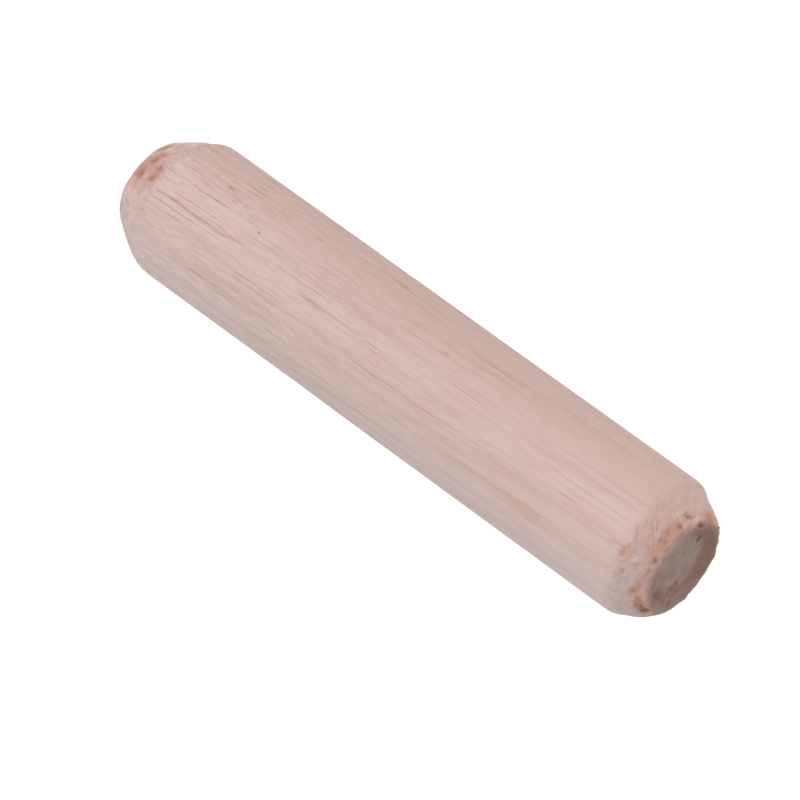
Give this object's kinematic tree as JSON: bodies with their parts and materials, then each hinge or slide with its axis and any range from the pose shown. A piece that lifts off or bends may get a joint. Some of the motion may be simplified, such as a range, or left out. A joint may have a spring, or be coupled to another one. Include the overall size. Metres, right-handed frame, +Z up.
{
  "type": "wooden dowel pin",
  "caption": "Plain round wooden dowel pin with a chamfered end at each side, glued into matching holes to locate and join two boards.",
  "frame": {"origin": "middle of the bottom end face, on the pin's axis", "axes": "+Z runs up the shank from the bottom end face to the top end face; X and Y are any two directions across it, because the pin is round"},
  "size_m": [0.008, 0.008, 0.038],
  "materials": {
    "wood": "raw, unsanded pale wood with fine straight grain"
  },
  "bodies": {
    "root": {"dowel_pin": "wood"}
  },
  "joints": []
}
